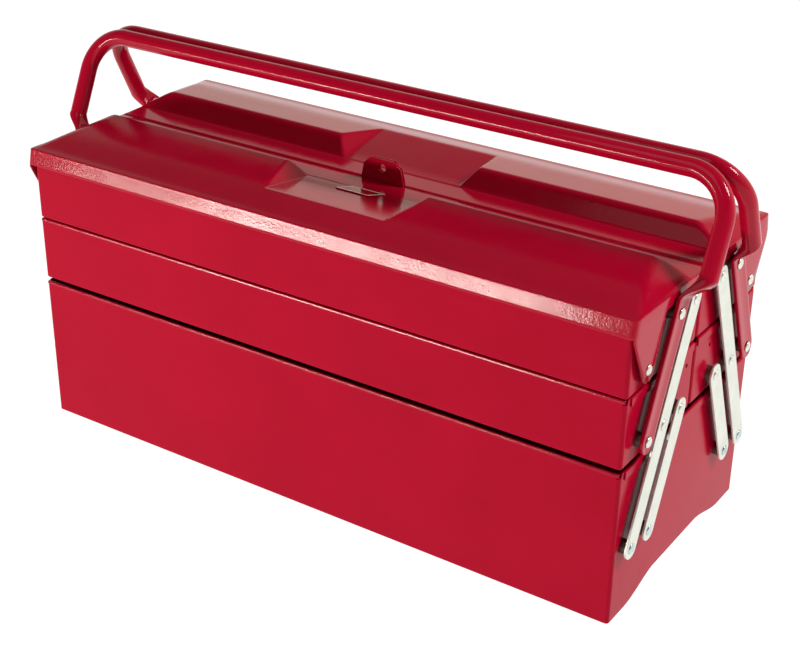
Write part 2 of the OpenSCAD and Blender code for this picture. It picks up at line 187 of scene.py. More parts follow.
# ---------------------------------------------------------------- materials
CRIMSON = (0.41, 0.0015, 0.021)
CRIMSON_DEEP = (0.375, 0.001, 0.018)
NOISE_SPAN = (0.3, 0.7)
EVEN = (1, 1, 1)
DRAWN = (1, 0.15, 0.15)


def new_material(name, colour, roughness, metallic=0.0, level=0.5):
    """A Principled material; returns it with its nodes, links and shader."""
    material = bpy.data.materials.new(name)
    material.use_nodes = True
    nodes, links = material.node_tree.nodes, material.node_tree.links
    shader = nodes["Principled BSDF"]
    shader.inputs["Base Color"].default_value = (*colour, 1)
    shader.inputs["Roughness"].default_value = roughness
    shader.inputs["Metallic"].default_value = metallic
    shader.inputs["Specular IOR Level"].default_value = level
    material.diffuse_color = (*colour, 1)
    return material, nodes, links, shader


def add_noise(nodes, links, scale, detail=2.0, rough=0.5, stretch=(1, 1, 1)):
    """Noise over the object's own coordinates; scale is in cells per metre."""
    coords = nodes.new("ShaderNodeTexCoord")
    mapping = nodes.new("ShaderNodeMapping")
    mapping.inputs["Scale"].default_value = stretch
    noise = nodes.new("ShaderNodeTexNoise")
    noise.inputs["Scale"].default_value = scale
    noise.inputs["Detail"].default_value = detail
    noise.inputs["Roughness"].default_value = rough
    links.new(coords.outputs["Object"], mapping.inputs["Vector"])
    links.new(mapping.outputs["Vector"], noise.inputs["Vector"])
    return noise.outputs["Fac"]


def add_ramp(nodes, links, source, low, high):
    """Colour ramp from low to high over the middle of the noise."""
    ramp = nodes.new("ShaderNodeValToRGB")
    for stop, position, colour in zip(ramp.color_ramp.elements, NOISE_SPAN, (low, high)):
        stop.position = position
        stop.color = (*colour, 1)
    links.new(source, ramp.inputs["Fac"])
    return ramp.outputs["Color"]


def add_range(nodes, links, source, low, high):
    """A number from low to high over the middle of the noise."""
    mapped = nodes.new("ShaderNodeMapRange")
    mapped.inputs["From Min"].default_value = NOISE_SPAN[0]
    mapped.inputs["From Max"].default_value = NOISE_SPAN[1]
    mapped.inputs["To Min"].default_value = low
    mapped.inputs["To Max"].default_value = high
    links.new(source, mapped.inputs["Value"])
    return mapped.outputs["Result"]


def add_bump(nodes, links, source, distance, below=None):
    """Bump of that height in metres, stacked on another bump if there is one."""
    bump = nodes.new("ShaderNodeBump")
    bump.inputs["Strength"].default_value = 1.0
    bump.inputs["Distance"].default_value = distance
    links.new(source, bump.inputs["Height"])
    if below is not None:
        links.new(below, bump.inputs["Normal"])
    return bump.outputs["Normal"]


def paint_material(name, colour, shade, peel=1.0, wave=1.0, level=0.2, gloss=0.12):
    """Glossy stoving enamel: orange peel, slow sheet waviness and slight colour drift."""
    material, nodes, links, shader = new_material(name, colour, gloss, level=level)
    drift = add_noise(nodes, links, 14, 2)
    links.new(add_ramp(nodes, links, drift, shade, colour), shader.inputs["Base Color"])
    cloud = add_noise(nodes, links, 70, 3)
    rough = add_range(nodes, links, cloud, gloss - 0.03, gloss + 0.03)
    links.new(rough, shader.inputs["Roughness"])
    waves = add_bump(nodes, links, add_noise(nodes, links, 22, 1), 0.0009 * wave)
    orange_peel = add_noise(nodes, links, 620, 2, 0.45)
    normal = add_bump(nodes, links, orange_peel, 0.00003 * peel, below=waves)
    links.new(normal, shader.inputs["Normal"])
    return material


def zinc_material(name, colour, shade, roughness, stretch):
    """Plated steel: cloudy tone and a faint grain, which the stretch draws out into streaks."""
    material, nodes, links, shader = new_material(name, colour, roughness, metallic=1.0)
    cloud = add_noise(nodes, links, 90, 4, 0.6)
    links.new(add_ramp(nodes, links, cloud, shade, colour), shader.inputs["Base Color"])
    streak = add_noise(nodes, links, 900, 3, 0.6, stretch)
    rough = add_range(nodes, links, streak, roughness - 0.08, roughness + 0.1)
    links.new(rough, shader.inputs["Roughness"])
    normal = add_bump(nodes, links, streak, 0.00002)
    links.new(normal, shader.inputs["Normal"])
    return material


paint = paint_material(
    "crimson_enamel", CRIMSON, CRIMSON_DEEP, peel=1.5, wave=0.3, level=0.06, gloss=0.16
)
lid_paint = paint_material("crimson_enamel_lid", CRIMSON, CRIMSON_DEEP, peel=2, wave=0.25, level=0.15)
tube_paint = paint_material("crimson_enamel_tube", CRIMSON, CRIMSON_DEEP, peel=0.5, wave=0.1)
zinc = zinc_material("zinc_links", (0.80, 0.81, 0.74), (0.72, 0.74, 0.66), 0.5, DRAWN)
rivet_zinc = zinc_material("zinc_rivets", (0.84, 0.83, 0.74), (0.68, 0.68, 0.62), 0.28, EVEN)
cool_zinc = zinc_material("zinc_rivets_cool", (0.66, 0.74, 0.78), (0.48, 0.56, 0.6), 0.25, EVEN)
# Collars in near-black zinc: painted shade, as they sit in the dark gap behind the links and arms
shaded_collar_zinc = zinc_material("zinc_collars_painted_shade", (0.2, 0.19, 0.18), (0.12, 0.11, 0.1), 0.45, EVEN)
# Near-black zinc on the backs of the links: painted shade, for the dark gap between each link and the
# tray's end wall
painted_shade_zinc = zinc_material("zinc_painted_shade", (0.1, 0.07, 0.06), (0.06, 0.04, 0.04), 0.6, DRAWN)
badge_field = paint_material("badge_field", (0.5, 0.003, 0.012), (0.46, 0.002, 0.01), 0.3, 0.1)
badge_border = paint_material("badge_border", (0.86, 0.80, 0.72), (0.80, 0.73, 0.65), 0.3, 0.1)


# ---------------------------------------------------------------- mesh tools
def make_piece(name, bm, material, body, replaced=()):
    """Turns a bmesh in millimetres into a piece that rides on a body."""
    bmesh.ops.scale(bm, vec=(MM, MM, MM), verts=bm.verts)
    bmesh.ops.recalc_face_normals(bm, faces=bm.faces)
    for face in bm.faces:
        face.smooth = True
    mesh = bpy.data.meshes.new(name)
    bm.to_mesh(mesh)
    bm.free()
    piece = bpy.data.objects.new(name, mesh)
    bpy.context.scene.collection.objects.link(piece)
    mesh.materials.append(material)
    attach(piece, body)
    if replaced:
        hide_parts(*replaced)
    return piece


def soften(piece, width, angle):
    """Rounds every edge sharper than the angle in degrees; width in millimetres."""
    bevel = piece.modifiers.new("soften", "BEVEL")
    bevel.limit_method = "ANGLE"
    bevel.angle_limit = math.radians(angle)
    bevel.width = width * MM
    bevel.segments = 2
    bevel.use_clamp_overlap = True
    return flatten(piece)


def flatten(piece, keep_sharp=False):
    """Keeps large faces flat under smooth shading."""
    even = piece.modifiers.new("even", "WEIGHTED_NORMAL")
    even.weight = 100
    even.thresh = 0.01
    even.keep_sharp = keep_sharp
    return piece


def bore(piece, cutters):
    """Cuts a bmesh of closed cutters, in millimetres, out of a piece and applies the result."""
    cutter_mesh = bpy.data.meshes.new("cutter")
    bmesh.ops.recalc_face_normals(cutters, faces=cutters.faces)
    bmesh.ops.scale(cutters, vec=(MM, MM, MM), verts=cutters.verts)
    cutters.to_mesh(cutter_mesh)
    cutters.free()
    cutter = bpy.data.objects.new("cutter", cutter_mesh)
    bpy.context.scene.collection.objects.link(cutter)
    cut = piece.modifiers.new("bore", "BOOLEAN")
    cut.operation = "DIFFERENCE"
    cut.solver = "EXACT"
    cut.object = cutter
    bpy.context.view_layer.update()
    evaluated = piece.evaluated_get(bpy.context.evaluated_depsgraph_get())
    mesh = bpy.data.meshes.new_from_object(evaluated)
    piece.modifiers.remove(cut)
    piece.data = mesh
    bpy.data.objects.remove(cutter)
    for polygon in mesh.polygons:
        polygon.use_smooth = True
    return piece


def circle_x(bm, x, y, z, radius, count):
    """A ring of vertices around a line along X."""
    ring = []
    for k in range(count):
        turn = 2 * math.pi * k / count
        ring.append(bm.verts.new((x, y + radius * math.cos(turn), z + radius * math.sin(turn))))
    return ring


def add_cylinder_x(bm, x0, x1, y, z, radius, count):
    """Adds a closed cylinder along X."""
    close_rings(bm, [circle_x(bm, x, y, z, radius, count) for x in (x0, x1)])


def close_rings(bm, rings):
    """A solid of rings in a row, with a face over the first and the last."""
    skin_rings(bm, rings)
    bm.faces.new(rings[0])
    bm.faces.new(rings[-1])


def skin_rings(bm, rings, closed=True):
    """Faces between rings that have the same number of vertices."""
    for first, second in zip(rings, rings[1:]):
        count = len(first)
        for k in range(count if closed else count - 1):
            n = (k + 1) % count
            bm.faces.new((first[k], first[n], second[n], second[k]))


def sweep_x(points, x0, x1):
    """A closed bmesh: a [y, z] outline run along X."""
    bm = bmesh.new()
    close_rings(bm, [[bm.verts.new((x, y, z)) for y, z in points] for x in (x0, x1)])
    return bm


def arc(centre, radius, start, end, steps):
    """Points on an arc, in degrees, both ends included."""
    points = []
    for k in range(steps + 1):
        turn = math.radians(start + (end - start) * k / steps)
        points.append((centre[0] + radius * math.cos(turn), centre[1] + radius * math.sin(turn)))
    return points


# ---------------------------------------------------------------- trays
def tray_ring(bm, x_half, y0, y1, inset, radius, z_wall, z_end=None, z_corner=None):
    """One ring of a tray: four round corners and a point on each side next to them.
    The long walls, the end walls and the corners may differ in height."""
    z_end = z_wall if z_end is None else z_end
    z_corner = z_wall if z_corner is None else z_corner
    radius = max(radius, 0.25)
    xa, ya, yb = x_half - inset, y0 + inset, y1 - inset
    step = 0.6
    verts = []
    for sx, sy, start in ((1, 1, 0), (-1, 1, 90), (-1, -1, 180), (1, -1, 270)):
        centre = (sx * (xa - radius), (yb - radius) if sy > 0 else (ya + radius))
        points = arc(centre, radius, start, start + 90, 6)
        from_end = start in (0, 180)
        on_end, on_wall = (points[0], points[-1]) if from_end else (points[-1], points[0])
        end_point = (on_end[0], on_end[1] - sy * step, z_end)
        wall_point = (on_wall[0] - sx * step, on_wall[1], z_wall)
        middle = [(x, y, z_corner) for x, y in points]
        row = [end_point, *middle, wall_point] if from_end else [wall_point, *middle, end_point]
        verts += [bm.verts.new(p) for p in row]
    return verts


def tray_bmesh(x_half, y0, y1, z0, top):
    """A folded tray with round bottom bends; its long walls end below their rims."""
    bm = bmesh.new()
    wall_top = top - RIM_R
    corner_top = top - RIM_DROP
    rings = []
    steps = 5
    for k in range(steps + 1):
        turn = math.pi / 2 * k / steps
        inset = BASE_R * (1 - math.sin(turn))
        z = z0 + BASE_R * (1 - math.cos(turn))
        rings.append(tray_ring(bm, x_half, y0, y1, inset, CORNER_R - inset, z))
    for inset in (0, SHEET):
        rings.append(
            tray_ring(bm, x_half, y0, y1, inset, CORNER_R - inset, wall_top, top, corner_top)
        )
    for k in range(steps + 1):
        turn = math.pi / 2 * (1 - k / steps)
        inset = SHEET + (BASE_R - SHEET) * (1 - math.sin(turn))
        z = z0 + SHEET + (BASE_R - SHEET) * (1 - math.cos(turn))
        rings.append(tray_ring(bm, x_half, y0, y1, inset, CORNER_R - inset, z))
    close_rings(bm, rings)
    return bm


def bottom_bmesh(top):
    """The bottom tray: straight walls down to the ground and a raised floor."""
    bm = bmesh.new()
    rim = (top - RIM_R, top, top - RIM_DROP)
    ground = (0, 0, 0)
    below_floor = (FLOOR_Z,) * 3
    on_floor = (FLOOR_Z + SHEET,) * 3
    walls = [
        (SHEET, below_floor), (SHEET, ground), (0, ground),
        (0, rim), (SHEET, rim), (SHEET, on_floor),
    ]
    rings = []
    for inset, heights in walls:
        rings.append(tray_ring(bm, HALF_L, -HALF_W, HALF_W, inset, CORNER_R - inset, *heights))
    close_rings(bm, rings)
    return bm


def rim_points(half, top):
    """Outline of a curled rim: a nearly closed curl of sheet with a slit inside, pressed flat
    where it faces out and up by the tilt."""
    centre = (half * (HALF_W + RIM_OUT - RIM_R), top - RIM_R)
    reach = math.cos(math.radians(RIM_FLAT))
    first = RIM_SLIT - RIM_TURN
    steps = 40
    points = []
    for radius, start, end in ((RIM_R, first, RIM_SLIT), (RIM_R - RIM_WALL, RIM_SLIT, first)):
        for k in range(steps + 1):
            turn = start + (end - start) * k / steps
            off = math.radians((turn - RIM_TILT + 180) % 360 - 180)
            out = radius * min(1, reach / max(math.cos(off), 0.1))
            y = centre[0] + half * out * math.cos(math.radians(turn))
            points.append((y, centre[1] + out * math.sin(math.radians(turn))))
    return points


def add_rim(tray, half, top, body):
    """Curled rim along a long wall of a tray."""
    side = "front" if half < 0 else "back"
    bm = sweep_x(rim_points(half, top), RIM_INSET - HALF_L, HALF_L - RIM_INSET)
    soften(make_piece(f"{tray}_{side}_rim", bm, lid_paint, body), 0.1, 60)


def add_end_hem(tray, end, y0, y1, top, body):
    """Folded hem along the top of an end wall."""
    x_in, x_out = HALF_L - SHEET, HALF_L + HEM_R
    bm = bmesh.new()
    fold = arc(((x_in + x_out) / 2, top - HEM_R), HEM_R, 180, 0, 8)
    points = [*fold, (x_out, top - HEM_H), (HALF_L, top - HEM_H), (x_in, top - HEM_H)]
    close_rings(bm, [[bm.verts.new((end * x, y, z)) for x, z in points] for y in (y0, y1)])
    name = "left" if end < 0 else "right"
    soften(make_piece(f"{tray}_{name}_hem", bm, paint, body), 0.25, 50)


def tray_nodes(tray):
    """The CAD nodes that a tray's shell stands in for."""
    return [f"{tray}_body", f"{tray}_left_end", f"{tray}_right_end"]


def build_bottom_tray():
    """The bottom tray's shell, arched at both ends, with its rims and hems."""
    tray, top = "bottom_tray", bottom_high.z
    bm = bottom_bmesh(top)
    piece = make_piece(f"{tray}_shell", bm, paint, "base", tray_nodes(tray))
    past = 2
    arch = [
        (-FOOT_Y - past, -1), (-FOOT_Y, 0), *arch_curve(-FOOT_Y, -ARCH_Y, ARCH_H),
        *arch_curve(ARCH_Y, FOOT_Y, ARCH_H), (FOOT_Y + past, -1),
    ]
    bore(piece, sweep_x(arch, -HALF_L - past, HALF_L + past))
    soften(piece, 0.3, 40)
    for half in HALVES.values():
        add_rim(tray, half, top, "base")
    span = HALF_W - HEM_INSET
    for end in ENDS.values():
        add_end_hem(tray, end, -span, span, top, "base")


def arch_curve(y0, y1, height):
    """Smooth rise (or fall, for positive y) between two feet of the arch."""
    points = []
    for k in range(1, 12):
        share = k / 12
        eased = share * share * (3 - 2 * share)
        level = eased if y0 < 0 else 1 - eased
        points.append((y0 + (y1 - y0) * share, height * level))
    return points


def build_upper_tray(half_name, tier, z0, top):
    """The shell and rim of a middle or top tray; the middle one has vent holes and hems too."""
    half = HALVES[half_name]
    body = f"{half_name}_tray_{tier}"
    tray = f"{half_name}_{tier}_tray"
    y0, y1 = (-HALF_W, -CENTRE) if half < 0 else (CENTRE, HALF_W)
    bm = tray_bmesh(HALF_L, y0, y1, z0, top)
    piece = make_piece(f"{tray}_shell", bm, paint, body, tray_nodes(tray))
    middle = tier == "middle"
    if middle:
        holes = bmesh.new()
        past = 3
        for end in ENDS.values():
            y = half * (VENT_NEAR if half * end < 0 else VENT_FAR)
            add_cylinder_x(holes, end * (HALF_L - past), end * (HALF_L + past), y, VENT_Z, VENT_R, 20)
        bore(piece, holes)
    soften(piece, 0.25, 50)
    add_rim(tray, half, top, body)
    if middle:
        y0, y1 = sorted((half * (CENTRE + CORNER_R), half * (HALF_W - HEM_INSET)))
        for end in ENDS.values():
            add_end_hem(tray, end, y0, y1, top, body)


# ---------------------------------------------------------------- lids
def smooth_min(a, b, reach):
    """Lower of two heights, rounded where they are within reach of each other."""
    near = max(reach - abs(a - b), 0) / reach
    return min(a, b) - near * near * reach / 4


def smooth_max(a, b, reach):
    """Higher of two heights, rounded in the same way."""
    return -smooth_min(-a, -b, reach)


def height_on(start, end, y):
    """Height at y of the line through two [y, z] points."""
    return start[1] + (end[1] - start[1]) * (y - start[0]) / (end[0] - start[0])


def plane_height(a, b, c):
    """Function that gives the height of the plane through three points."""
    normal = (b - a).cross(c - a)
    level = normal.dot(a)
    return lambda x, y: (level - normal.x * x - normal.y * y) / normal.z


def at(x, profile):
    """The point at x of an outline's [y, z] point."""
    return Vector((x, profile[0], profile[1]))


hip_height = plane_height(at(LID_X, SKIRT_HIGH), at(LID_X - HIP_INSET, RIDGE), at(LID_X, LIP_IN))
wall_height = plane_height(at(RECESS_CREASE, CROWN), at(RECESS_TOP, RIDGE), at(RECESS_FOOT, LIP_IN))


def lid_height(x, y):
    """Height of the lid's outer skin over a point of the back half."""
    x = abs(x)
    roof = smooth_min(height_on(SKIRT_HIGH, CROWN, y), height_on(CROWN, RIDGE, y), SKIRT_BEND)
    roof = smooth_min(roof, height_on(RIDGE, LIP_IN, y), RIDGE_BEND)
    roof = smooth_min(roof, hip_height(x, y), HIP_BEND)
    scoop = smooth_max(height_on(LIP_IN, CROWN, y), wall_height(x, y), SCOOP_BEND)
    roof = smooth_min(roof, scoop, CREASE_BEND)
    return smooth_max(roof, height_on(LIP_IN, LIP, y), LIP_BEND)


def flap_low(y):
    """Lower edge of the end skirt and its flap at y."""
    pivot = PIVOT["front", "lid_hinge"]
    inner, outer = arc((pivot.y, pivot.z), FLAP_R, *FLAP_TURN, 1)
    if y <= END_SKIRT_Y:
        return END_SKIRT_LOW
    if y < inner[0]:
        return height_on((END_SKIRT_Y, END_SKIRT_LOW), inner, y)
    if y <= outer[0]:
        return pivot.z - math.sqrt(max(FLAP_R ** 2 - (y - pivot.y) ** 2, 0))
    return height_on(outer, SKIRT_LOW, min(y, SKIRT_LOW[0]))


def spaced(start, end, step):
    """Numbers from start up to, but not including, end, about step apart."""
    count = max(1, round((end - start) / step))
    return [start + (end - start) * k / count for k in range(count)]


def round_corner(x, y):
    """Moves a point near the lid's plan corner so that the corner becomes an arc."""
    x_start, y_start = LID_X - PLAN_R, SKIRT_HIGH[0] - PLAN_R
    u = (abs(x) - x_start) / PLAN_R
    v = (y - y_start) / PLAN_R
    if u <= 0 or v <= 0:
        return x, y
    u, v = u * math.sqrt(max(1 - v * v / 2, 0)), v * math.sqrt(max(1 - u * u / 2, 0))
    return math.copysign(x_start + PLAN_R * u, x), y_start + PLAN_R * v


def top_height(x, y):
    """Height of the lid's skin with the rounding of its outer edges taken off."""
    edge = min(LID_X - abs(x), SKIRT_HIGH[0] - y)
    drop = 0.0
    if edge < FOLD_R:
        drop = FOLD_R - math.sqrt(max(FOLD_R ** 2 - (FOLD_R - edge) ** 2, 0))
    return lid_height(x, y) - drop


def lid_bmesh(half):
    """Outer skin of a lid: a grid for the top, closer at its folds, and skirts down from it."""
    right = [
        *spaced(0, 46, 5), *spaced(46, 66, 1), *spaced(66, 218, 8),
        *spaced(218, LID_X - FOLD_R, 1.2), *[LID_X - d for d in FOLD_STEPS],
    ]
    xs = [-x for x in right[:0:-1]] + right
    ys = [
        *spaced(LIP[0], 16, 3), *spaced(16, 44, 1), *spaced(44, 70, 3), *spaced(70, 78, 1),
        *spaced(78, SKIRT_HIGH[0] - FOLD_R, 3), *[SKIRT_HIGH[0] - d for d in FOLD_STEPS],
    ]
    bm = bmesh.new()
    grid = []
    for x in xs:
        column = []
        for y in ys:
            px, py = round_corner(x, y)
            column.append(bm.verts.new((px, half * py, top_height(x, y))))
        grid.append(column)
    skin_rings(bm, grid, closed=False)

    skirt_fall = SKIRT_HIGH[1] - SKIRT_LOW[1]
    spread = SKIRT_LOW[0] / SKIRT_HIGH[0] - 1

    def lowered(top, z_low, k):
        """A vertex below an edge point of the top, k rows down towards z_low. The long skirt
        leans out as it goes down, and the end skirt's points follow in proportion."""
        z = top.z + (z_low - top.z) * k / SKIRT_ROWS
        fall = min(max(SKIRT_HIGH[1] - z, 0), skirt_fall)
        return bm.verts.new((top.x, top.y * (1 + spread * fall / skirt_fall), z))

    skirt = [[column[-1] for column in grid]]
    for k in range(1, SKIRT_ROWS + 1):
        skirt.append([lowered(column[-1].co, SKIRT_LOW[1], k) for column in grid])
    skin_rings(bm, skirt, closed=False)
    for edge in (0, -1):
        column = grid[edge]
        rings = [column]
        for k in range(1, SKIRT_ROWS + 1):
            ring = []
            for vert in column[:-1]:
                z_low = flap_low(abs(vert.co.y) * (1 + spread))
                ring.append(lowered(vert.co, z_low, k))
            rings.append([*ring, skirt[k][edge]])
        skin_rings(bm, rings, closed=False)
    return bm


def build_lid(half_name):
    """A lid's shell: the outer skin, thickened inwards."""
    bm = lid_bmesh(HALVES[half_name])
    body = f"{half_name}_cover"
    nodes = [f"{half_name}_lid_panel", f"{half_name}_lid_left_end", f"{half_name}_lid_right_end"]
    piece = make_piece(f"{half_name}_lid_shell", bm, lid_paint, body, nodes)
    thick = piece.modifiers.new("thickness", "SOLIDIFY")
    thick.thickness = SHEET * MM
    thick.offset = -1


# ---------------------------------------------------------------- handles
def blend(a, b, share):
    """Smooth step from a to b."""
    share = min(1, max(0, share))
    eased = share * share * (3 - 2 * share)
    return a + (b - a) * eased


def handle_stations():
    """Sections of half a handle, from the arm's foot to the middle of the grip:
    centre, width direction, thickness direction, half width, half thickness, flatness."""
    outward = Vector((1, 0, 0))
    along = (HANDLE_TOP - HANDLE_FOOT).normalized()
    across = Vector((0, -along.z, along.y))
    leg_y = HANDLE_TOP.y - LEG_INSET
    slope = (leg_y - TUBE_Y) / (HANDLE_Z - HANDLE_TOP.z)
    leg = Vector((0, -slope, 1)).normalized()
    leg_across = Vector((0, -leg.z, leg.y))
    foot = HANDLE_FOOT + outward * (ARM_X + ARM_T / 2)
    round_r = ARM_W / 2
    stations = []

    steps = 8
    for k in range(steps + 1):
        turn = math.pi / 2 * k / steps
        width = max(round_r * math.sin(turn), 0.4)
        centre = foot - along * round_r * math.cos(turn)
        stations.append((centre, across, outward, width, ARM_T / 2, 1.0))
    arm_length = (HANDLE_TOP - HANDLE_FOOT).length + ARM_ABOVE
    steps = 12
    for k in range(1, steps + 1):
        centre = foot + along * arm_length * k / steps
        stations.append((centre, across, outward, round_r, ARM_T / 2, 1.0))

    arm_end = foot + along * arm_length
    leg_foot = Vector((LEG_X, leg_y - LEG_ABOVE * slope, HANDLE_TOP.z + LEG_ABOVE))
    steps = 14
    for k in range(1, steps + 1):
        share = k / steps
        centre = arm_end.lerp(leg_foot, share)
        centre.x = blend(arm_end.x, LEG_X, share)
        width = blend(round_r, TUBE_R, share)
        thick = blend(ARM_T / 2, TUBE_R, (share - 0.1) / 0.9)
        direction = across.lerp(leg_across, share).normalized()
        stations.append((centre, direction, outward, width, thick, 1 - share))

    bend_z = HANDLE_Z - BEND_R * leg.z
    bend_start = Vector((LEG_X, TUBE_Y + slope * (HANDLE_Z - bend_z), bend_z))
    steps = 4
    for k in range(1, steps + 1):
        centre = leg_foot.lerp(bend_start, k / steps)
        stations.append((centre, leg_across, outward, TUBE_R, TUBE_R, 0.0))
    pivot = bend_start - outward * BEND_R
    steps = 16
    for k in range(1, steps + 1):
        turn = math.pi / 2 * k / steps
        direction = outward * math.cos(turn) + leg * math.sin(turn)
        stations.append((pivot + direction * BEND_R, leg_across, direction, TUBE_R, TUBE_R, 0.0))
    steps = 8
    for k in range(1, steps + 1):
        centre = pivot + leg * BEND_R - outward * (pivot.x * k / steps)
        stations.append((centre, leg_across, leg, TUBE_R, TUBE_R, 0.0))
    return stations


def section_point(angle, width, thick, flat):
    """Point of a section that goes from a circle (flat 0) to a flattened tube with round edges."""
    c, s = math.cos(angle), math.sin(angle)
    if flat <= 0:
        return width * c, thick * s
    power = 2 / (2 + 6 * flat)
    u = math.copysign(abs(c) ** power, c) * width
    v = math.copysign(abs(s) ** power, s) * thick
    waist = 0.34 * flat * max(0.0, 1 - abs(u) / (0.7 * width)) if flat > 0.5 else 0.0
    return u, v * (1 - waist)


def build_handle(half_name):
    """A handle: the stations of its right half, mirrored, with a bore at each pivot."""
    half = HALVES[half_name]
    count = 40
    bm = bmesh.new()
    rings = []
    right = handle_stations()
    full = [(s, 1) for s in right] + [(s, -1) for s in right[-2::-1]]
    for (centre, across, outward, width, thick, flat), end in full:
        ring = []
        for k in range(count):
            u, v = section_point(2 * math.pi * k / count, width, thick, flat)
            p = centre + across * u + outward * v
            ring.append(bm.verts.new((end * p.x, half * p.y, p.z)))
        rings.append(ring)
    close_rings(bm, rings)
    body = f"{half_name}_bail"
    nodes = [f"{half_name}_handle"]
    piece = make_piece(f"{half_name}_handle_tube", bm, tube_paint, body, nodes)
    bore_pivots(piece, half, ENDS.values(), (HANDLE_FOOT, HANDLE_TOP), ARM_X, ARM_X + ARM_T)
    soften(piece, 0.2, 50)


def bore_pivots(piece, half, ends, pivots, near, far):
    """Rivet bores along X through a piece that lies from near to far, at the ends given."""
    holes = bmesh.new()
    past = 2
    for pivot in pivots:
        for end in ends:
            x0, x1 = end * (near - past), end * (far + past)
            add_cylinder_x(holes, x0, x1, half * pivot.y, pivot.z, BORE_R, 28)
    bore(piece, holes)


# ---------------------------------------------------------------- links, rivets and small parts
def dress(node, material, width):
    """Material and soft edges for a CAD node that stays."""
    piece = frame["nodes"][node]
    piece.data.materials.clear()
    piece.data.materials.append(material)
    weld = piece.modifiers.new("weld", "WELD")
    weld.merge_threshold = 0.01 * MM
    soften(piece, width, 40)


def rivet_outline(stack):
    """Half outline of a set rivet as [out, radius], from the head's dimple to the tail."""
    base = stack + RIVET_GAP
    head = [
        (base + 0.62, 0.0), (base + 0.64, 0.5), (base + 0.74, 1.0), (base + 1.0, 1.4),
        (base + 1.2, 1.8), (base + 1.16, 2.2), (base + 1.0, 2.7), (base + 0.72, 3.2),
        (base + 0.4, 3.6), (base + 0.22, 3.75), (base + 0.1, 3.78), (base, 3.72),
    ]
    shank = [(base, SHANK_R), (-SHEET, SHANK_R)]
    tail = [(-SHEET, 3.5), (-SHEET - 0.7, 3.4), (-SHEET - 1.1, 2.9), (-SHEET - 1.2, 0.0)]
    return head + shank + tail


def add_lathe_x(bm, x0, end, y, z, outline):
    """Adds a turned solid whose axis runs along X; the outline starts and ends on the axis."""
    count = 40
    rings = [circle_x(bm, x0 + end * out, y, z, radius, count) for out, radius in outline[1:-1]]
    skin_rings(bm, rings)
    for (out, _), ring in ((outline[0], rings[0]), (outline[-1], rings[-1])):
        tip = bm.verts.new((x0 + end * out, y, z))
        for k in range(count):
            bm.faces.new((tip, ring[k], ring[(k + 1) % count]))


def build_rivets(node, body, pivots, material):
    """Set rivets for a list of [half, pivot, stack], at both ends of the box."""
    bm = bmesh.new()
    for half, pivot, stack in pivots:
        for end in ENDS.values():
            add_lathe_x(bm, end * HALF_L, end, half * pivot.y, pivot.z, rivet_outline(stack))
    piece = make_piece(f"{node}_set", bm, material, body, [node])
    piece.data.set_sharp_from_angle(angle=math.radians(55))


def build_all_rivets():
    """The rivets of each tray: they hold links, handle arms and lid flaps."""
    base_rivets = []
    for half_name, half in HALVES.items():
        base_rivets.append((half, PIVOT["front", "fold"], LINK_STACK))
        base_rivets.append((half, PIVOT["front", "short_swing"], LINK_STACK))
        middle_rivets = [
            (half, PIVOT["front", "middle_level"], LINK_STACK),
            (half, SHORT_MIDDLE, LINK_STACK),
            (half, HANDLE_FOOT, ARM_STACK),
        ]
        top_rivets = [
            (half, PIVOT["front", "top_level"], LINK_STACK),
            (half, HANDLE_TOP, ARM_STACK),
            (half, PIVOT["front", "lid_hinge"], FLAP_STACK),
        ]
        for tier, pivots in (("middle", middle_rivets), ("top", top_rivets)):
            node = f"{half_name}_{tier}_tray_rivets"
            build_rivets(node, f"{half_name}_tray_{tier}", pivots, rivet_zinc)
    build_rivets("bottom_tray_rivets", "base", base_rivets, cool_zinc)


def build_link(half_name, side, kind, pivots):
    """Flat link with round ends and rolled edges, bored for its rivets."""
    half, end = HALVES[half_name], ENDS[side]
    name = f"{half_name}_{side}_{kind}_link"
    low, high = mm_box(name)
    first, last = pivots[0], pivots[-1]
    radius = (high.y - low.y - abs(first.y - last.y)) / 2
    along = (last - first).normalized()
    lean = math.degrees(math.atan2(along.z, along.y))
    sections = [(LINK_X, 0.0)]
    steps = 4
    for k in range(steps + 1):
        turn = math.pi / 2 * k / steps
        inset = LINK_EDGE_R * (1 - math.cos(turn))
        sections.append((LINK_TOP_X - LINK_EDGE_R * (1 - math.sin(turn)), inset))
    bm = bmesh.new()
    rings = []
    for x, inset in sections:
        foot = arc((first.y, first.z), radius - inset, lean + 90, lean + 270, 24)
        head = arc((last.y, last.z), radius - inset, lean - 90, lean + 90, 24)
        rings.append([bm.verts.new((end * x, half * y, z)) for y, z in foot + head])
    close_rings(bm, rings)
    piece = make_piece(f"{name}_bar", bm, zinc, f"{half_name}_links_{kind}", [name])
    bore_pivots(piece, half, (end,), pivots, LINK_X, LINK_TOP_X)
    # The back face, next to the wall, takes the near-black zinc as painted shade
    piece.data.materials.append(painted_shade_zinc)
    for polygon in piece.data.polygons:
        if abs(polygon.center.x) < (LINK_X + 0.1) * MM:
            polygon.material_index = 1
    piece.data.set_sharp_from_angle(angle=math.radians(60))
    flatten(piece, keep_sharp=True)


def build_all_links():
    """A long and a short link for each half at each end."""
    long_pivots = [PIVOT["front", what] for what in ("fold", "middle_level", "top_level")]
    short_pivots = [PIVOT["front", "short_swing"], SHORT_MIDDLE]
    for half_name in HALVES:
        for side in ENDS:
            build_link(half_name, side, "long", long_pivots)
            build_link(half_name, side, "short", short_pivots)


def dress_small_parts():
    """Looks for the CAD nodes that no piece replaces: collars, hasp tabs and the badge."""
    for node in frame["nodes"]:
        if "spacers" in node:
            # The collars take the darkened zinc as painted shade
            dress(node, shaded_collar_zinc, 0.2)
        elif "hasp" in node:
            dress(node, lid_paint, 0.35)
        elif "badge" in node:
            dress(node, badge_field, 0.1)


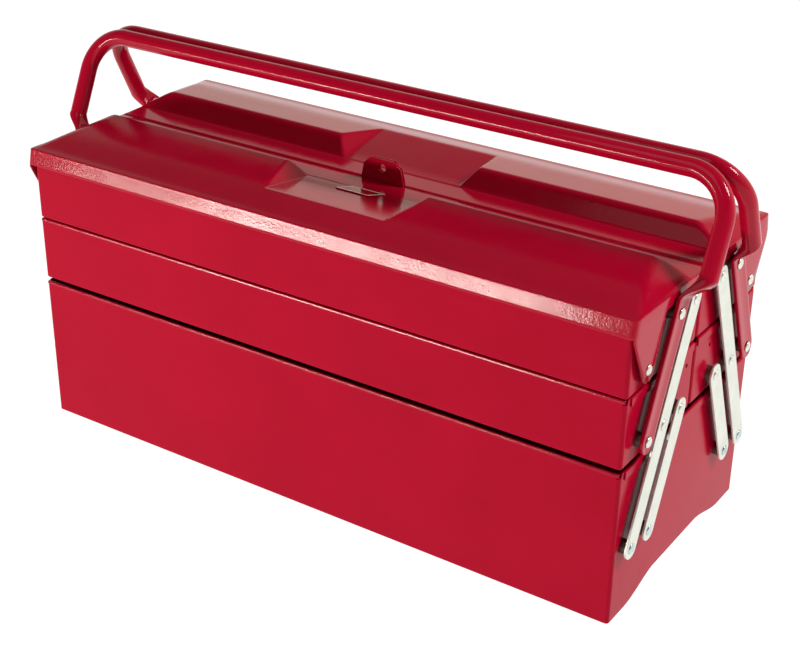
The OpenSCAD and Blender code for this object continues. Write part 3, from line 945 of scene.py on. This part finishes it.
def build_badge_border():
    """Pale raised border around the blank badge."""
    along = Vector((0, CROWN[0] - LIP_IN[0], CROWN[1] - LIP_IN[1])).normalized()
    normal = Vector((0, -along.z, along.y))
    start = Vector((0, *LIP_IN))
    corners = [
        (-BADGE_L + BADGE_SKEW, 0), (BADGE_L + BADGE_SKEW, 0),
        (BADGE_L - BADGE_SKEW, BADGE_H), (-BADGE_L - BADGE_SKEW, BADGE_H),
    ]
    inner = BORDER_EDGE + BORDER_W
    section = [
        (BORDER_EDGE, BORDER_LOW), (BORDER_EDGE, BORDER_HIGH), (inner, BORDER_HIGH), (inner, BORDER_LOW),
    ]
    bm = bmesh.new()
    rings = []
    for inset, lift in section:
        ring = []
        for x, h in corners:
            x -= math.copysign(inset * BORDER_SLANT, x)
            h += math.copysign(inset, BADGE_H / 2 - h)
            p = start + along * h + normal * lift
            ring.append(bm.verts.new((x, -p.y, p.z)))
        rings.append(ring)
    skin_rings(bm, [*rings, rings[0]])
    border = make_piece("badge_border", bm, badge_border, "front_cover")
    for polygon in border.data.polygons:
        polygon.use_smooth = False
    soften(border, 0.12, 30)


# ---------------------------------------------------------------- the toolbox
build_bottom_tray()
for half_name in HALVES:
    build_upper_tray(half_name, "middle", middle_low.z, middle_high.z)
    build_upper_tray(half_name, "top", top_low.z, top_high.z)
    build_lid(half_name)
    build_handle(half_name)
build_all_rivets()
build_all_links()
dress_small_parts()
build_badge_border()


# ---------------------------------------------------------------- floor, light and camera, in metres
WARM = (1, 0.94, 0.87)
HORIZON = (1, 0.97, 0.86, 1)
FLOOR_SIZE = 40
AIM = (0, 0, 0.2)
LOW_AIM = (0, -0.1, 0.2)
CAMERA_TURN = (33.65, 26.97, 0.62)
CAMERA_PLACE = (0.5889, -0.8612, 0.6358)
LENS = 70.365


def build_floor():
    """White paper that shines a little, so that it stays white under the soft light."""
    bm = bmesh.new()
    bmesh.ops.create_grid(bm, x_segments=1, y_segments=1, size=FLOOR_SIZE)
    mesh = bpy.data.meshes.new("floor")
    bm.to_mesh(mesh)
    bm.free()
    floor = bpy.data.objects.new("floor", mesh)
    bpy.context.scene.collection.objects.link(floor)
    material, nodes, links, shader = new_material("floor_paper", (0.15, 0.15, 0.15), 0.8, level=0.0)
    shader.inputs["Emission Color"].default_value = (1, 1, 1, 1)
    shader.inputs["Emission Strength"].default_value = 1.0
    mesh.materials.append(material)


def add_area(name, place, target, width, height, power, colour=(1, 1, 1)):
    """Soft box at place, facing target; not seen by the camera itself."""
    light = bpy.data.lights.new(name, "AREA")
    light.shape = "RECTANGLE"
    light.size, light.size_y = width, height
    light.energy = power
    light.color = colour
    lamp = bpy.data.objects.new(name, light)
    bpy.context.scene.collection.objects.link(lamp)
    lamp.location = place
    lamp.rotation_euler = (Vector(target) - Vector(place)).to_track_quat("-Z", "Y").to_euler()
    lamp.visible_camera = False


def build_world():
    """Bright behind the box near the horizon, dimmer in front and overhead."""
    world = bpy.data.worlds.new("studio")
    bpy.context.scene.world = world
    world.use_nodes = True
    nodes, links = world.node_tree.nodes, world.node_tree.links
    background = nodes["Background"]
    coords = nodes.new("ShaderNodeTexCoord")
    split = nodes.new("ShaderNodeSeparateXYZ")
    ramp = nodes.new("ShaderNodeValToRGB")
    links.new(coords.outputs["Generated"], split.inputs["Vector"])
    links.new(split.outputs["Z"], ramp.inputs["Fac"])
    links.new(ramp.outputs["Color"], background.inputs["Color"])
    stops = ramp.color_ramp.elements
    for stop, position in zip(stops, (0.0, 0.46)):
        stop.position = position
        stop.color = HORIZON
    for position, value in ((0.6, 0.2), (1.0, 0.25)):
        stop = stops.new(position)
        stop.color = (value, value, value, 1)
    back_glow = nodes.new("ShaderNodeMapRange")
    back_glow.inputs["From Min"].default_value = -0.4
    back_glow.inputs["From Max"].default_value = 0.6
    back_glow.inputs["To Min"].default_value = 0.15
    back_glow.inputs["To Max"].default_value = 0.95
    links.new(split.outputs["Y"], back_glow.inputs["Value"])
    links.new(back_glow.outputs["Result"], background.inputs["Strength"])


def build_camera():
    """Camera at the azimuth, elevation and roll that fit the box's straight edges."""
    azimuth, elevation, roll = (math.radians(a) for a in CAMERA_TURN)
    back = Vector((
        math.sin(azimuth) * math.cos(elevation),
        -math.cos(azimuth) * math.cos(elevation),
        math.sin(elevation),
    ))
    right = Vector((0, 0, 1)).cross(back).normalized()
    up = back.cross(right)
    turned_right = right * math.cos(roll) + up * math.sin(roll)
    turned_up = up * math.cos(roll) - right * math.sin(roll)
    data = bpy.data.cameras.new("camera")
    data.sensor_width = 36
    data.lens = LENS
    data.clip_start, data.clip_end = 0.05, 50
    camera = bpy.data.objects.new("camera", data)
    bpy.context.scene.collection.objects.link(camera)
    camera.matrix_world = Matrix((
        *zip(turned_right, turned_up, back, CAMERA_PLACE),
        (0, 0, 0, 1),
    ))
    bpy.context.scene.camera = camera


build_floor()
build_world()
build_camera()
add_area("strip", (-0.66, -1.34, 0.125), LOW_AIM, 0.6, 0.085, 12, WARM)
add_area("strip_end", (-1.08, -1.24, 0.125), LOW_AIM, 0.26, 0.085, 2, WARM)
add_area("over", (-0.1, -0.9, 1.55), AIM, 0.9, 0.9, 3)
add_area("key", (1.15, 0.45, 1.3), AIM, 0.4, 0.4, 19)
bpy.context.scene.view_settings.view_transform = "Standard"
